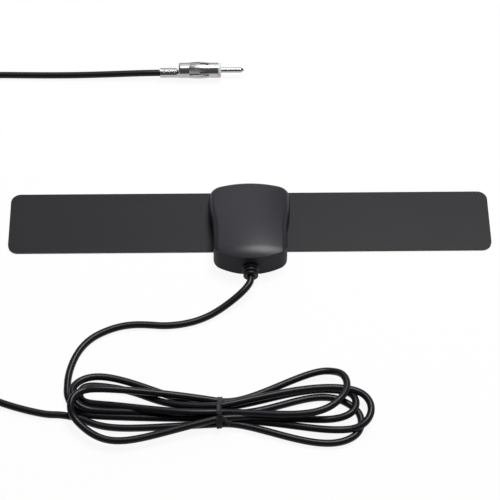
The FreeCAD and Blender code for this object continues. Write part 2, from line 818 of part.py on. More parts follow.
def plug_insulator():
    """Nylon core: a collar at each end of the sleeve, a slim middle and a chamfered ring in front."""
    collar = sleeve_diameter / 2 - sleeve_wall - insulator_clearance
    core = insulator_core_diameter / 2
    bore = pin_shank_diameter / 2 + pin_clearance
    rear = sleeve_rear + insulator_rear_gap
    ring = ring_diameter / 2
    return set_down(turned([
        (rear, bore), (rear, collar), (rear + insulator_collar_length, collar),
        (rear + insulator_collar_length, core), (sleeve_front - insulator_collar_length, core),
        (sleeve_front - insulator_collar_length, collar), (sleeve_front, collar), (sleeve_front, ring),
        (ring_front - ring_chamfer, ring), (ring_front, ring - ring_chamfer), (ring_front, bore)]))


def plug_pin():
    """Turned pin with a thinner shank in the insulator and a shoulder on its front ring."""
    radius = pin_diameter / 2
    shank = pin_shank_diameter / 2
    rear = sleeve_rear + pin_rear_gap
    return set_down(turned([
        (rear, 0), (rear, shank), (ring_front, shank), (ring_front, radius),
        (plug_tip - pin_tip_length, radius), (plug_tip, pin_tip_diameter / 2), (plug_tip, 0)]))


def plug_jacket():
    """End of the lead's jacket, inside the crimp barrel."""
    rear = Vector(0, 0, -barrel_drop)
    return set_down(rod(lead_diameter / 2, rear, rear + Vector(barrel_length + jacket_stub, 0, 0)))


def plug_braid():
    """Braid folded back over the jacket and gripped by the barrel."""
    rear = Vector(braid_setback, 0, -barrel_drop)
    front = Vector(barrel_length, 0, -barrel_drop)
    outer = rod(barrel_diameter / 2 - barrel_wall, rear, front)
    return set_down(outer.cut(rod(lead_diameter / 2, rear, front)))


def plug_core():
    """Dielectric and conductor, rising from the low barrel to the rear of the pin."""
    start = Vector(barrel_length + jacket_stub, 0, -barrel_drop)
    end = Vector(sleeve_rear + pin_rear_gap, 0, 0)
    heading = (end - start).normalize()
    stop = sleeve_rear + insulator_rear_gap
    dielectric = rod(dielectric_diameter / 2, start - heading * dielectric_diameter, end)
    trim = box(start.x, stop, -sleeve_diameter, sleeve_diameter, -sleeve_diameter, sleeve_diameter)
    conductor = rod(conductor_diameter / 2, start - heading * dielectric_diameter,
                    end + heading * conductor_diameter)
    reach = box(start.x, end.x, -sleeve_diameter, sleeve_diameter, -sleeve_diameter, sleeve_diameter)
    return set_down(dielectric.common(trim).fuse(conductor.common(reach)).removeSplitter())


def braid_tail():
    """Twisted screen of the lead, bent down to its pad on the board."""
    z = board_top + braid_tail_diameter / 2
    side = (dielectric_diameter + braid_tail_diameter) / 2
    points = [Vector(side + x, jacket_end_y + y, z) for x, y in braid_tail_route]
    return tube_along(points, braid_tail_diameter)


def build():
    foils = {"foil_arm_left": foil_arm(-1), "foil_arm_right": foil_arm(1)}
    nodes = {
        "release_liner": strip_layer(0, 0, liner_top),
        "adhesive_sheet": adhesive_sheet(foils.values()),
        "antenna_film": antenna_film(),
        **foils,
        "housing_cover": housing_cover(),
        "housing_base": housing_base(),
        "housing_screws": housing_screws(),
        "strain_relief": strain_relief(),
        "circuit_board": circuit_board(),
        "amplifier_transistor": amplifier_transistor(),
        "chip_capacitors": Part.Compound([chip(capacitor_size, place) for place in capacitor_places]),
        "chip_resistors": Part.Compound([chip(resistor_size, place) for place in resistor_places]),
        "matching_coil": matching_coil(),
        "contact_rivets": contact_rivets(),
        "lead_entry": lead_entry(),
        "lead_core": lead_core(),
        "braid_tail": braid_tail(),
        "lead": lead(),
        "lead_hank": lead_hank(),
        "plug_lead": plug_lead(),
        "twist_tie": twist_tie(),
        "plug_sleeve": plug_sleeve(),
        "plug_insulator": plug_insulator(),
        "plug_pin": plug_pin(),
        "plug_jacket": plug_jacket(),
        "plug_braid": plug_braid(),
        "plug_core": plug_core(),
    }
    os.makedirs("parts", exist_ok=True)
    for name, shape in nodes.items():
        print(name, "solids", len(shape.Solids), "valid", shape.isValid(), "volume", round(shape.Volume, 2))
        shape.exportStep(os.path.join("parts", name + ".step"))


build()
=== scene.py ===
"""Looks of an adhesive car antenna: strip, housing, amplifier, lead, tie and plug on a white studio floor."""
import math
from collections import namedtuple

import bmesh
import bpy
from mathutils import Matrix, Vector


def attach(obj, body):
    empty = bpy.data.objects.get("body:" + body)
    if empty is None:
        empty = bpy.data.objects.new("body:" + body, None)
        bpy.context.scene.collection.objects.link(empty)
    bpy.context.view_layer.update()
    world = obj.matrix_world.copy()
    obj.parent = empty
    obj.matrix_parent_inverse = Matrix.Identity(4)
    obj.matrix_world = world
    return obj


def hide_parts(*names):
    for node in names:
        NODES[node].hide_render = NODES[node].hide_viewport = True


bl_info = {
    "name": "Adhesive car antenna",
    "version": (1, 0, 0),
    "blender": (4, 5, 0),
    "location": "3D View > Sidebar > Antenna",
    "description": "Finishes, lead and studio of a stick-on car antenna",
    "category": "Object",
}

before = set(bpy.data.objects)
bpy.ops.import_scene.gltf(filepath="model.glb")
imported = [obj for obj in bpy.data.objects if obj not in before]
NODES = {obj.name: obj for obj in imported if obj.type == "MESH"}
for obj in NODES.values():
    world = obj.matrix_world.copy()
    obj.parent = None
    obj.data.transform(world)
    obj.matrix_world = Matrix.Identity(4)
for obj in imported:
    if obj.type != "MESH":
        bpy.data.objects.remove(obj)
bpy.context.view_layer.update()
BODY = "root"

# Lead: its size, where it leaves the boot, and its route to the hank and from the hank to the plug
LEAD_DIAMETER = 0.0039
FLOOR = LEAD_DIAMETER / 2
LEAD_EXIT = (0.0, -0.0412, 0.0072)
LEAD_POINTS = [
    (0.0, -0.0438, 0.0072), (-0.0016, -0.0470, 0.0070), (-0.0044, -0.0503, 0.0064),
    (-0.0082, -0.0536, 0.0053), (-0.0126, -0.0569, 0.0041), (-0.0176, -0.0603, 0.0030),
    (-0.0236, -0.0638, 0.0022), (-0.0308, -0.0668, FLOOR), (-0.0388, -0.0687, FLOOR),
    (-0.0472, -0.0694, FLOOR), (-0.0554, -0.0686, FLOOR), (-0.0634, -0.0683, FLOOR),
    (-0.0714, -0.0695, FLOOR), (-0.0792, -0.0725, FLOOR), (-0.0860, -0.0766, FLOOR),
    (-0.0912, -0.0822, FLOOR), (-0.0948, -0.0890, FLOOR), (-0.0970, -0.0960, FLOOR),
    (-0.0980, -0.1024, FLOOR), (-0.0980, -0.1060, FLOOR),
]
TAIL_POINTS = [
    (-0.1006, -0.1240, FLOOR), (-0.1075, -0.1240, FLOOR), (-0.1170, -0.1218, FLOOR),
    (-0.1285, -0.1182, FLOOR), (-0.1400, -0.1134, FLOOR), (-0.1510, -0.1068, FLOOR),
    (-0.1600, -0.0980, FLOOR), (-0.1660, -0.0870, FLOOR), (-0.1686, -0.0720, FLOOR),
    (-0.1684, -0.0480, FLOOR), (-0.1666, -0.0140, FLOOR), (-0.1694, 0.0200, FLOOR),
    (-0.1750, 0.0520, FLOOR), (-0.1782, 0.0720, FLOOR), (-0.1778, 0.0866, FLOOR),
    (-0.1744, 0.0964, FLOOR), (-0.1682, 0.1034, FLOOR), (-0.1598, 0.1072, FLOOR),
    (-0.1496, 0.1082, FLOOR), (-0.1360, 0.1079, FLOOR), (-0.1180, 0.1076, FLOOR),
    (-0.1010, 0.1074, 0.0022), (-0.0850, 0.10725, 0.0029), (-0.0710, 0.1072, 0.0036),
    (-0.0587, 0.10715, 0.00415), (-0.0517, 0.10715, 0.00415),
]

# Places of the eight strands inside the tie, as y and height
TIE_X = -0.0175
LOW_ROW = 0.00265
TOP_ROW = 0.0060
TIE_PLACES = {
    "far": (-0.1172, LOW_ROW), "second": (-0.1206, LOW_ROW), "third": (-0.1240, LOW_ROW),
    "fourth": (-0.1274, LOW_ROW), "near": (-0.1308, LOW_ROW),
    "far_top": (-0.1219, TOP_ROW), "middle_top": (-0.1256, TOP_ROW), "near_top": (-0.1293, TOP_ROW),
}

# Loops of the hank in the order in which the lead runs through them. Each goes out from one place in the
# tie, round its tip, whose three heights are those at its start, middle and end, and back to another place.
# A leg has its slope at the tie, how firmly it holds its direction at the tie and at the tip, and how far it
# sags or, below zero, rises.
Leg = namedtuple("Leg", "place lean tie_pull tip_pull sag")
Loop = namedtuple("Loop", "out centre radius turn heights back")
LOOPS = [
    Loop(Leg("fourth", -0.09, 1.90, 0.80, 0.0), (0.0506, -0.1239), 0.0117, (-85, 68),
         (0.0042, 0.0060, 0.0056), Leg("far_top", 0.19, 0.70, 0.80, 0.0)),
    Loop(Leg("far_top", 0.00, 1.70, 1.60, 0.0018), (-0.0862, -0.1118), 0.0056, (85, 262),
         (FLOOR, FLOOR, FLOOR), Leg("middle_top", -0.11, 1.10, 1.00, -0.0022)),
    Loop(Leg("middle_top", -0.06, 1.50, 1.00, -0.0015), (0.0383, -0.1109), 0.0117, (-32, 66),
         (0.0092, 0.0086, 0.0040), Leg("far", -0.32, 0.70, 0.60, 0.0)),
    Loop(Leg("far", 0.15, 1.00, 0.20, -0.0018), (-0.0857, -0.1226), 0.0099, (102, 220),
         (0.0085, 0.0096, 0.0060), Leg("near_top", -0.24, 1.80, 1.15, 0.0010)),
    Loop(Leg("near_top", 0.12, 1.50, 0.55, 0.0016), (0.0458, -0.1197), 0.0089, (-66, 77),
         (0.0052, 0.0046, FLOOR), Leg("second", -0.08, 0.70, 1.00, 0.0)),
    Loop(Leg("second", -0.04, 0.80, 0.80, 0.0012), (-0.0854, -0.1126), 0.0099, (136, 262),
         (0.0046, 0.0062, 0.0040), Leg("third", 0.05, 0.70, 0.70, 0.0)),
    Loop(Leg("third", -0.22, 1.10, 1.10, 0.0), (0.0451, -0.1296), 0.0119, (43, -52),
         (FLOOR, FLOOR, FLOOR), Leg("near", 0.20, 0.70, 0.90, 0.0)),
]
LEG_POINTS = 12
TIP_STEP = 0.003

# Bend by which the lead comes into the hank, and the leg by which it leaves
ENTRY_CENTRE = (-0.0836, -0.1104)
ENTRY_RADIUS = 0.0145
ENTRY_TURN = (182, 266)
ENTRY_POINTS = 6
LEAVING_POINT = (-0.0901, -0.1264)
LEAVING_HEADING = (-0.83, 0.55, 0.0)
LEAVING_LEG = Leg("near", -0.04, 1.80, 0.70, 0.0)

# Twist tie: half section of the ribbon as shares of its width, and its two ends as points with their roll
RIBBON_HALF = [
    (-0.5, 0.0), (-0.47, 0.08), (-0.38, 0.12), (-0.29, 0.08), (-0.23, 0.045),
    (0.23, 0.045), (0.29, 0.08), (0.38, 0.12), (0.47, 0.08), (0.5, 0.0),
]
RIBBON_THICKEST = 0.12
BAND_STATIONS = 72
BAND_WOBBLE = 0.0003
END_STEPS = 6
TIE_ENDS = [
    [(-0.0174, -0.1268, 0.0084, 0), (-0.0170, -0.1286, 0.0089, 60), (-0.0178, -0.1304, 0.0083, 140),
     (-0.0182, -0.1320, 0.0068, 185), (-0.0177, -0.1332, 0.0053, 190), (-0.0173, -0.1338, 0.0038, 190)],
    [(-0.0177, -0.1266, 0.0084, 180), (-0.0182, -0.1286, 0.0087, 110), (-0.0170, -0.1300, 0.0087, 40),
     (-0.0152, -0.1311, 0.0079, 60), (-0.0133, -0.1320, 0.0070, 70), (-0.0117, -0.1326, 0.0062, 60)],
]

# How strongly the film, the base and walls, and the other dark plastics mirror the studio
FILM_SHEEN = 0.12
BASE_SHEEN = 0.11
SHEEN = 0.22

# Sizes of the spots in the finishes, and the depths of their relief, in metres
FILM_STREAK = 0.0035
FILM_CLOUD = 0.045
FILM_GRAIN = 0.0003
FILM_DEPTH = 0.000006
PAPER_DEPTH = 0.00008
MOULD_DRIFT = 0.03
PLATE_SCRATCH = 0.00025
PLATE_TARNISH = 0.004
SCRATCH_DEPTH = 0.000002
NYLON_CLOUD = 0.0015
TRACK_PITCH = 0.0038
TRACK_DEPTH = 0.00003

# Sizes and depths of the grain on moulded pieces
JACKET_GRAIN = (0.0005, 0.000002)
TIE_GRAIN = (0.0003, 0.00001)
CHIP_GRAIN = (0.0002, 0.000005)

# Studio: half width of the floor, and where the two lights stand, how large they are and what they face
FLOOR_HALF = 4.0
LIGHT_AIM = (0.0, -0.02, 0.0)
KEY_PLACE = (0.28, 0.47, 1.46)
KEY_SIZE = 0.57
BACK_PLACE = (-0.15, 1.00, 0.70)
BACK_SIZE = 0.90
SENSOR_WIDTH = 36.0


class Wire:
    """An output socket of a finish. Arithmetic on it adds Math nodes."""

    def __init__(self, finish, socket):
        self.finish = finish
        self.socket = socket

    def math(self, operation, first, second):
        return self.finish.node("ShaderNodeMath", {"operation": operation}, {0: first, 1: second})

    def __add__(self, other):
        return self.math("ADD", self, other)

    def __rsub__(self, other):
        return self.math("SUBTRACT", other, self)

    def __mul__(self, other):
        return self.math("MULTIPLY", self, other)

    __radd__ = __add__
    __rmul__ = __mul__


class Finish:
    """One procedural material, with its nodes made by one method."""

    def __init__(self, name):
        self.material = bpy.data.materials.new(name)
        self.material.use_nodes = True
        self.tree = self.material.node_tree
        self.tree.nodes.clear()
        self.place = self.node("ShaderNodeTexCoord", output="Object")

    def node(self, kind, settings=None, inputs=None, output=0):
        """Add a node with its settings and its inputs, values or wires. One output comes back as a wire."""
        node = self.tree.nodes.new(kind)
        for name, value in (settings or {}).items():
            if name == "stops":
                self.fill_ramp(node.color_ramp, value)
            else:
                setattr(node, name, value)
        for name, value in (inputs or {}).items():
            if isinstance(value, Wire):
                self.tree.links.new(value.socket, node.inputs[name])
            else:
                node.inputs[name].default_value = value
        return Wire(self, node.outputs[output]) if len(node.outputs) else None

    def fill_ramp(self, ramp, stops):
        while len(ramp.elements) < len(stops):
            ramp.elements.new(1.0)
        for element, (position, level) in zip(ramp.elements, stops):
            element.position = position
            element.color = (level, level, level, 1.0)

    def stretched(self, scale):
        """Coordinates of the part in metres, times a factor along each axis."""
        return self.node("ShaderNodeVectorMath", {"operation": "MULTIPLY"}, {0: self.place, 1: scale})

    def noise(self, size, detail=2.0, vector=None):
        """Soft noise from 0 to 1 with spots of about one size in metres."""
        inputs = {"Vector": vector or self.place, "Scale": 1.0 / size, "Detail": detail}
        return self.node("ShaderNodeTexNoise", {}, inputs)

    def ramp(self, value, stops):
        return self.node("ShaderNodeValToRGB", {"stops": stops}, {"Fac": value})

    def mix(self, share, first, second):
        """A colour between two others."""
        inputs = {0: share, 6: rgba(first), 7: rgba(second)}
        return self.node("ShaderNodeMix", {"data_type": "RGBA"}, inputs, output=2)

    def bump(self, height, depth):
        """Relief of a depth in metres."""
        return self.node("ShaderNodeBump", {}, {"Height": height, "Distance": depth, "Strength": 1.0})

    def surface(self, **inputs):
        """Close the finish with one Principled shader. Names are its sockets with spaces for underscores."""
        values = {}
        for name, value in inputs.items():
            values[name.replace("_", " ")] = rgba(value)
        shader = self.node("ShaderNodeBsdfPrincipled", {}, values)
        self.node("ShaderNodeOutputMaterial", {}, {"Surface": shader})
        return self.material


def rgba(value):
    """A plain colour of three numbers with full alpha. A wire or a number comes back as it is."""
    if isinstance(value, (Wire, float, int)):
        return value
    return (*value, 1.0)


def shade(tone, factor):
    """The same colour, made darker or lighter."""
    return tuple(part * factor for part in tone)


def colour(label, about, default):
    """A colour that a user may change."""
    return bpy.props.FloatVectorProperty(
        name=label, description=about, subtype="COLOR", size=3, min=0.0, max=1.0, default=default)


def length(label, about, default):
    """A length in metres that a user may change."""
    return bpy.props.FloatProperty(
        name=label, description=about, default=default, min=0.0, precision=5,
        subtype="DISTANCE", unit="LENGTH")


def share(label, about, default):
    """A value from 0 to 1 that a user may change."""
    return bpy.props.FloatProperty(
        name=label, description=about, default=default, min=0.0, max=1.0, subtype="FACTOR")


def angle(label, about, degrees):
    """An angle that a user may change."""
    return bpy.props.FloatProperty(
        name=label, description=about, default=math.radians(degrees), subtype="ANGLE", unit="ROTATION")


def power(label, about, default):
    """The power of a lamp in watts."""
    return bpy.props.FloatProperty(
        name=label, description=about, default=default, min=0.0, subtype="POWER", unit="POWER")


class StripLook(bpy.types.PropertyGroup):
    film_dark: colour("Film, dark", "Darker tone of the printed film", (0.0172, 0.0168, 0.0205))
    film_light: colour("Film, light", "Lighter tone of the printed film", (0.0232, 0.0228, 0.0250))
    film_roughness: share("Film roughness", "Roughness of the satin film", 0.45)
    foam: colour("Foam", "Edge of the foam adhesive", (0.45, 0.45, 0.45))
    liner: colour("Liner", "Waxed paper of the release liner", (0.62, 0.60, 0.55))
    foil: colour("Foil", "Aluminium foil of the antenna arms", (0.83, 0.83, 0.85))


class HousingLook(bpy.types.PropertyGroup):
    shell: colour("Shell", "Moulded shell", (0.0190, 0.0184, 0.0250))
    base: colour("Base", "Moulded base plate", (0.015, 0.0145, 0.021))
    boot: colour("Boot", "Soft strain relief", (0.016, 0.016, 0.019))
    roughness: share("Roughness", "Roughness of the moulded shell", 0.31)
    skin: share("Skin", "Sheen of the smooth crown", 0.34)
    grain: length("Grain", "Size of the moulded grain", 0.00035)
    grain_depth: length("Grain depth", "Depth of the moulded grain", 0.000008)
    steel: colour("Screws", "Zinc plated screws", (0.70, 0.71, 0.73))


class AmplifierLook(bpy.types.PropertyGroup):
    mask: colour("Solder mask", "Green mask of the board", (0.010, 0.095, 0.035))
    track: colour("Tracks", "Mask over the copper tracks", (0.020, 0.170, 0.060))
    ceramic: colour("Capacitors", "Ceramic chip capacitors", (0.45, 0.33, 0.20))
    chip: colour("Chips", "Black moulded chips", (0.015, 0.015, 0.016))
    ferrite: colour("Ferrite", "Ferrite core of the coil", (0.030, 0.030, 0.033))
    brass: colour("Rivets", "Brass contact rivets", (0.80, 0.58, 0.25))


class LeadLook(bpy.types.PropertyGroup):
    diameter: length("Diameter", "Outer diameter of the lead", LEAD_DIAMETER)
    jacket: colour("Jacket", "Black PVC jacket", (0.0075, 0.0075, 0.0105))
    roughness: share("Roughness", "Roughness of the jacket", 0.33)
    tie: colour("Tie", "Plastic of the twist tie", (0.018, 0.018, 0.018))
    tie_width: length("Tie width", "Width of the flat twist tie", 0.0026)


class PlugLook(bpy.types.PropertyGroup):
    nickel: colour("Nickel", "Nickel plate of the sleeve and pin", (0.50, 0.50, 0.51))
    roughness: share("Roughness", "Roughness of the nickel plate", 0.22)
    copper: colour("Copper", "Bare copper of the screen", (0.78, 0.40, 0.24))
    nylon: colour("Nylon", "Nylon insulator", (0.80, 0.80, 0.78))


class StageLook(bpy.types.PropertyGroup):
    azimuth: angle("Azimuth", "Camera's turn round the part", -1.24)
    elevation: angle("Elevation", "Camera's height above the horizon", 55.23)
    roll: angle("Roll", "Camera's turn about its own axis", 0.59)
    distance: length("Distance", "Camera's distance from its target", 1.0607)
    lens: bpy.props.FloatProperty(
        name="Lens", description="Focal length in millimetres", default=136.9, min=1.0,
        subtype="DISTANCE_CAMERA")
    target: bpy.props.FloatVectorProperty(
        name="Target", description="Point that the camera looks at", size=3, subtype="TRANSLATION",
        default=(-0.0001, -0.0184, 0.0))
    key: power("Key", "Power of the softbox above", 22.0)
    back: power("Back", "Power of the soft light behind", 3.0)
    world: share("Surroundings", "Brightness of the room", 0.10)
    floor: colour("Floor", "Pale studio floor", (0.95, 0.95, 0.95))
    glow: share("Floor glow", "Share of plain white in what the camera sees of the floor", 0.92)


def dress(material, *names):
    """Give CAD nodes one finish."""
    for name in names:
        piece = NODES[name]
        if not piece.material_slots:
            piece.data.materials.append(None)
        for slot in piece.material_slots:
            slot.material = material


def add_piece(name, data, material, slot, *replaced):
    """Link a new piece to the scene, in place of CAD nodes, on the one body of the part."""
    piece = bpy.data.objects.new(name, data)
    bpy.context.scene.collection.objects.link(piece)
    data.materials.append(material)
    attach(piece, BODY)
    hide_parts(*replaced)
    return piece


def film_finish(look):
    """Printed film: satin charcoal with faint lengthwise streaks."""
    finish = Finish("film_print")
    streaks = finish.noise(FILM_STREAK, 3.0, finish.stretched((0.05, 1.0, 1.0)))
    clouds = finish.noise(FILM_CLOUD)
    grain = finish.noise(FILM_GRAIN)
    tone = finish.mix(streaks * 0.55 + clouds * 0.45, look.film_dark, look.film_light)
    return finish.surface(Base_Color=tone, Roughness=look.film_roughness - 0.05 + grain * 0.1,
                          Normal=finish.bump(grain, FILM_DEPTH), Specular_IOR_Level=FILM_SHEEN)


def paper_finish(name, tone, fibre):
    """Waxed paper or foam with a fibrous cut edge."""
    finish = Finish(name)
    fibres = finish.noise(fibre, 4.0)
    return finish.surface(Base_Color=finish.mix(fibres, shade(tone, 0.62), tone),
                          Roughness=0.6 + fibres * 0.25, Normal=finish.bump(fibres, PAPER_DEPTH))


def moulded_finish(name, tone, roughness, grain, sheen=SHEEN):
    """Moulded plastic or rubber with a fine even grain of one size and depth."""
    finish = Finish(name)
    size, depth = grain
    pits = finish.noise(size, 1.0)
    tint = finish.mix(finish.noise(MOULD_DRIFT), tone, shade(tone, 1.18))
    return finish.surface(Base_Color=tint, Roughness=roughness - 0.04 + pits * 0.08,
                          Normal=finish.bump(pits, depth), Specular_IOR_Level=sheen)


def shell_finish(look):
    """Moulded shell: matt grained walls and a smoother skin on the crown."""
    finish = Finish("shell_plastic")
    pits = finish.noise(look.grain, 1.0)
    tint = finish.mix(finish.noise(MOULD_DRIFT), look.shell, shade(look.shell, 1.18))
    facing = finish.node("ShaderNodeNewGeometry", output="Normal")
    upward = finish.node("ShaderNodeSeparateXYZ", {}, {0: facing}, output="Z")
    crown = finish.ramp(upward, [(0.2, 0.0), (0.6, 1.0)])
    return finish.surface(Base_Color=tint, Roughness=0.5 + pits * 0.1, Specular_IOR_Level=BASE_SHEEN,
                          Coat_Weight=crown * look.skin, Coat_Roughness=look.roughness,
                          Normal=finish.bump(pits, look.grain_depth))


def plated_finish(name, tone, roughness, scratch=(0.15, 1.0, 1.0)):
    """Bright plate with fine drawn scratches along the axis."""
    finish = Finish(name)
    scratches = finish.noise(PLATE_SCRATCH, 3.0, finish.stretched(scratch))
    tarnish = finish.noise(PLATE_TARNISH, 3.0)
    return finish.surface(Base_Color=finish.mix(tarnish, shade(tone, 0.82), tone), Metallic=1.0,
                          Roughness=roughness - 0.04 + scratches * 0.05 + tarnish * 0.06,
                          Normal=finish.bump(scratches, SCRATCH_DEPTH))


def braid_finish(name, tone, pitch):
    """Fine wires laid crosswise in a woven screen, with painted shade in the gaps between the wires."""
    finish = Finish(name)
    settings = {"wave_type": "BANDS", "bands_direction": "DIAGONAL"}
    waves = []
    for slant in (1.0, -1.0):
        lay = finish.stretched((1.0, slant, slant))
        inputs = {"Vector": lay, "Scale": 0.3 / pitch, "Distortion": 0.4}
        waves.append(finish.node("ShaderNodeTexWave", settings, inputs))
    weave_and_gap_shade = waves[0].math("MAXIMUM", *waves)
    # Base colour falls to a quarter of the copper between the crossing wires: painted shade in the gaps.
    return finish.surface(Base_Color=finish.mix(weave_and_gap_shade, shade(tone, 0.25), tone), Metallic=1.0,
                          Roughness=0.45 - weave_and_gap_shade * 0.18, Normal=finish.bump(weave_and_gap_shade, pitch * 0.4))


def nylon_finish(look):
    """Milky nylon that lets some light through."""
    finish = Finish("insulator_nylon")
    clouds = finish.noise(NYLON_CLOUD, 3.0)
    return finish.surface(Base_Color=finish.mix(clouds, shade(look.nylon, 0.86), look.nylon),
                          Roughness=0.30 + clouds * 0.12, Subsurface_Weight=0.25, Subsurface_Scale=0.002)


def board_finish(look):
    """Solder mask with copper tracks under it."""
    finish = Finish("board_mask")
    settings = {"feature": "F1", "distance": "MANHATTAN"}
    inputs = {"Vector": finish.place, "Scale": 1.0 / TRACK_PITCH}
    cells = finish.node("ShaderNodeTexVoronoi", settings, inputs)
    tracks = finish.ramp(cells, [(0.0, 1.0), (0.32, 1.0), (0.36, 0.0)])
    return finish.surface(Base_Color=finish.mix(tracks, look.mask, look.track), Coat_Weight=0.3,
                          Roughness=0.34 - tracks * 0.08, Normal=finish.bump(tracks, TRACK_DEPTH))


def slot_point(place):
    y, height = TIE_PLACES[place]
    return Vector((TIE_X, y, height))


def tip_points(loop):
    """Points round the tip of a loop, and its headings into and out of the tip."""
    first, last = (math.radians(degrees) for degrees in loop.turn)
    way = 1 if last > first else -1
    start, middle, end = loop.heights
    count = round(abs(last - first) * loop.radius / TIP_STEP)
    points = []
    for index in range(count + 1):
        part = index / count
        turn = first + (last - first) * part
        rise = math.sin(math.pi * part)
        height = (start if part < 0.5 else end) * (1 - rise) + middle * rise
        points.append(Vector((loop.centre[0] + loop.radius * math.cos(turn),
                              loop.centre[1] + loop.radius * math.sin(turn), height)))
    headings = [Vector((-math.sin(turn), math.cos(turn), 0.0)) * way for turn in (first, last)]
    return points, headings


def smooth_point(t, start, start_pull, end, end_pull):
    """A point at the share t of a smooth run between two places, with a pull at each end."""
    point = start * (2 * t ** 3 - 3 * t ** 2 + 1) + start_pull * (t ** 3 - 2 * t ** 2 + t)
    return point + end * (3 * t ** 2 - 2 * t ** 3) + end_pull * (t ** 3 - t ** 2)


def leg_points(leg, tip, heading, side):
    """Points of a leg between its place in the tie, which it leaves to one side, and the tip."""
    place = slot_point(leg.place)
    reach = (tip - place).length
    away = Vector((side, leg.lean, 0.0)) * reach * leg.tie_pull
    points = []
    for index in range(1, LEG_POINTS + 1):
        t = index / (LEG_POINTS + 1)
        point = smooth_point(t, place, away, tip, heading * reach * leg.tip_pull)
        point.z = max(FLOOR, point.z - leg.sag * 4 * t * (1 - t))
        points.append(point)
    return points


def eased(points):
    """The same points with their bends evened out. The first and the last keep their places."""
    inner = []
    for before, here, after in zip(points, points[1:], points[2:]):
        point = here * 0.5 + (before + after) * 0.25
        point.z = max(point.z, FLOOR)
        inner.append(point)
    return points[:1] + inner + points[-1:]


def loop_points(loop):
    """The lead's points from one place in the tie round the tip of a loop and back to the tie."""
    tip, headings = tip_points(loop)
    side = 1 if loop.centre[0] > TIE_X else -1
    out = leg_points(loop.out, tip[0], headings[0], side)
    back = leg_points(loop.back, tip[-1], -headings[1], side)
    ends = [slot_point(leg.place) for leg in (loop.out, loop.back)]
    return eased(ends[:1] + out + tip + back[::-1] + ends[1:])[:-1]


def entry_points():
    """The lead's points from its run on the floor round the left end of the hank to the tie."""
    first, last = (math.radians(degrees) for degrees in ENTRY_TURN)
    bend = []
    for index in range(ENTRY_POINTS):
        turn = first + (last - first) * index / (ENTRY_POINTS - 1)
        bend.append(Vector((ENTRY_CENTRE[0] + ENTRY_RADIUS * math.cos(turn),
                            ENTRY_CENTRE[1] + ENTRY_RADIUS * math.sin(turn), FLOOR)))
    heading = Vector((math.sin(last), -math.cos(last), 0.0))
    place = LOOPS[0].out.place
    back = leg_points(Leg(place, 0.0, 1.0, 1.0, 0.0), bend[-1], heading, -1)
    return eased(bend + back[::-1] + [slot_point(place)])[:-1]


def leaving_points():
    """The lead's points from the tie to where it leaves the hank under its left end."""
    end = Vector((*LEAVING_POINT, FLOOR))
    out = leg_points(LEAVING_LEG, end, Vector(LEAVING_HEADING), -1)
    return eased([slot_point(LEAVING_LEG.place)] + out + [end])


def lead_route():
    """All control points of the lead, from the boot to the plug."""
    points = [Vector(LEAD_EXIT)] + [Vector(point) for point in LEAD_POINTS]
    points += entry_points()
    for loop in LOOPS:
        points += loop_points(loop)
    points += leaving_points()
    return points + [Vector(point) for point in TAIL_POINTS]


def cord_curve(name, points, diameter):
    """A round cord along one smooth spline."""
    curve = bpy.data.curves.new(name, "CURVE")
    curve.dimensions = "3D"
    spline = curve.splines.new("NURBS")
    spline.points.add(len(points) - 1)
    for control, point in zip(spline.points, points):
        control.co = (*point, 1.0)
    spline.order_u = 3
    spline.use_endpoint_u = True
    spline.resolution_u = 6
    curve.bevel_depth = diameter / 2
    curve.bevel_resolution = 5
    curve.use_fill_caps = True
    return curve


def ribbon_section(width):
    """Closed section of the tie: a thin web between two rounded edges."""
    upper = [(across * width, out * width) for across, out in RIBBON_HALF]
    lower = [(across, -out) for across, out in reversed(upper[1:-1])]
    return upper + lower


def add_ribbon(mesh, stations, section, closed):
    """Sweep the section along stations of point, side and outward direction."""
    rings = []
    for point, side, outward in stations:
        rings.append([mesh.verts.new(point + side * across + outward * out) for across, out in section])
    pairs = list(zip(rings, rings[1:]))
    if closed:
        pairs.append((rings[-1], rings[0]))
    count = len(section)
    for ring, following in pairs:
        for index in range(count):
            after = (index + 1) % count
            mesh.faces.new((ring[index], ring[after], following[after], following[index]))
    if not closed:
        mesh.faces.new(list(reversed(rings[0])))
        mesh.faces.new(rings[-1])


def band_stations(width):
    """Stations of the band round the eight strands, a little wavy across."""
    centres = [slot_point(place) for place in TIE_PLACES]
    reach = LEAD_DIAMETER / 2 + RIBBON_THICKEST * width
    stations = []
    for index in range(BAND_STATIONS):
        turn = 2 * math.pi * index / BAND_STATIONS
        outward = Vector((0.0, math.cos(turn), math.sin(turn)))
        centre = max(centres, key=outward.dot)
        wobble = Vector((BAND_WOBBLE * math.sin(3 * turn), 0.0, 0.0))
        stations.append((centre + outward * reach + wobble, Vector((1.0, 0.0, 0.0)), outward))
    return stations


def end_stations(keys):
    """Stations of one twisted end, smooth through its points."""
    points = [Vector(key[:3]) for key in keys]
    padded = [points[0] * 2 - points[1]] + points + [points[-1] * 2 - points[-2]]
    stations = []
    for index in range(len(points) - 1):
        before, start, end, after = padded[index:index + 4]
        for step in range(END_STEPS + (index == len(points) - 2)):
            t = step / END_STEPS
            pull = (end - before) / 2
            push = (after - start) / 2
            point = smooth_point(t, start, pull, end, push)
            along = (end - start + (push - pull) * (t - 0.5)).normalized()
            roll = math.radians(keys[index][3] * (1 - t) + keys[index + 1][3] * t)
            level = along.cross(Vector((0.0, 0.0, 1.0))).normalized()
            side = Matrix.Rotation(roll, 3, along) @ level
            stations.append((point, side, side.cross(along)))
    return stations


def tie_mesh(width):
    """The band and its two twisted ends as one mesh."""
    mesh = bmesh.new()
    section = ribbon_section(width)
    add_ribbon(mesh, band_stations(width), section, True)
    for keys in TIE_ENDS:
        add_ribbon(mesh, end_stations(keys), section, False)
    bmesh.ops.recalc_face_normals(mesh, faces=mesh.faces)
    for face in mesh.faces:
        face.smooth = True
    data = bpy.data.meshes.new("lead_twist_tie")
    mesh.to_mesh(data)
    mesh.free()
    return data


